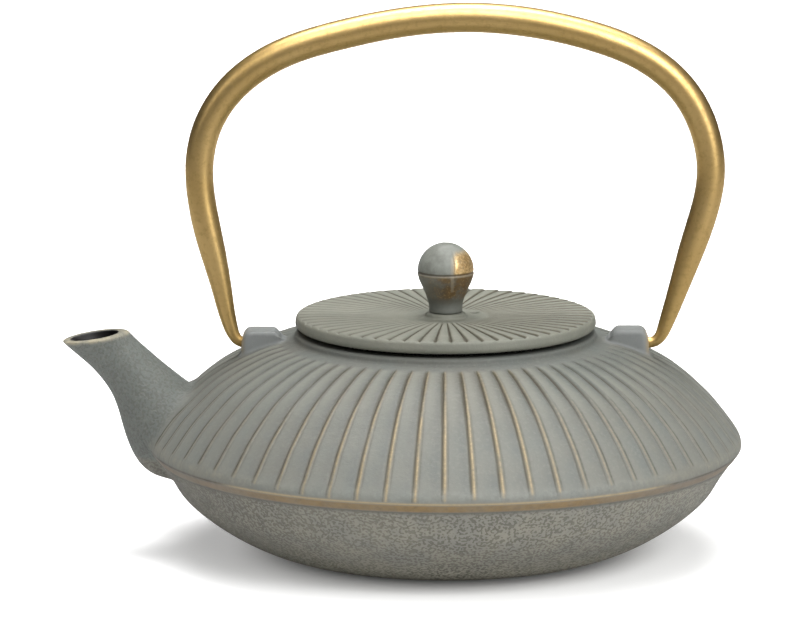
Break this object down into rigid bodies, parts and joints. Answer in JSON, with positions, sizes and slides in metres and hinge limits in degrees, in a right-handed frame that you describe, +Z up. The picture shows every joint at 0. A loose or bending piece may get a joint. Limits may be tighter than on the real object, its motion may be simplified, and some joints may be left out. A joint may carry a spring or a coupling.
{
  "type": "teapot infuser",
  "caption": "Low, wide cast-iron teapot with ribbed shoulder and lid, short spout, gold bail handle that swings, ball-knob lid and a lift-out mesh infuser basket.",
  "frame": {"origin": "on the pot's vertical axis, at the flat underside of its base", "axes": "+Z up, spout towards -X, bail handle in the XZ plane and hinged about X"},
  "size_m": [0.1998, 0.174, 0.1621],
  "materials": {
    "body_iron": "grey-green paint over cast iron, worn to brown gold on the rib edges, rim and spout lip, black enamel inside",
    "lid_iron": "grey-green paint over cast iron, worn to brown gold on the rib edges",
    "knob_iron": "grey-green paint rubbed through to gold",
    "bail_gold": "satin gold lacquer on drawn tube",
    "screw_steel": "plain steel",
    "washer_steel": "plain steel",
    "infuser_collar": "pressed stainless, satin",
    "infuser_wall": "fine stainless mesh",
    "infuser_ring": "pressed stainless, satin",
    "infuser_floor": "fine stainless mesh"
  },
  "bodies": {
    "pot": {"pot_body": "body_iron"},
    "bail": {"bail_handle": "bail_gold"},
    "infuser": {"infuser_collar": "infuser_collar", "infuser_wall": "infuser_wall", "infuser_base_ring": "infuser_ring", "infuser_floor": "infuser_floor"},
    "lid": {"lid_plate": "lid_iron", "lid_knob": "knob_iron", "knob_screw": "screw_steel", "knob_washer": "washer_steel"}
  },
  "joints": [
    {"name": "bail_swing", "type": "hinge", "parent": "pot", "child": "bail", "pos_m": [0, 0, 0.0616], "axis": [1, 0, 0], "range_deg": [-104, 104]},
    {"name": "infuser_lift", "type": "slide", "parent": "pot", "child": "infuser", "axis": [0, 0, 1], "range_m": [0, 0.04]},
    {"name": "lid_lift", "type": "slide", "parent": "infuser", "child": "lid", "axis": [0, 0, 1], "range_m": [0, 0.018]}
  ]
}
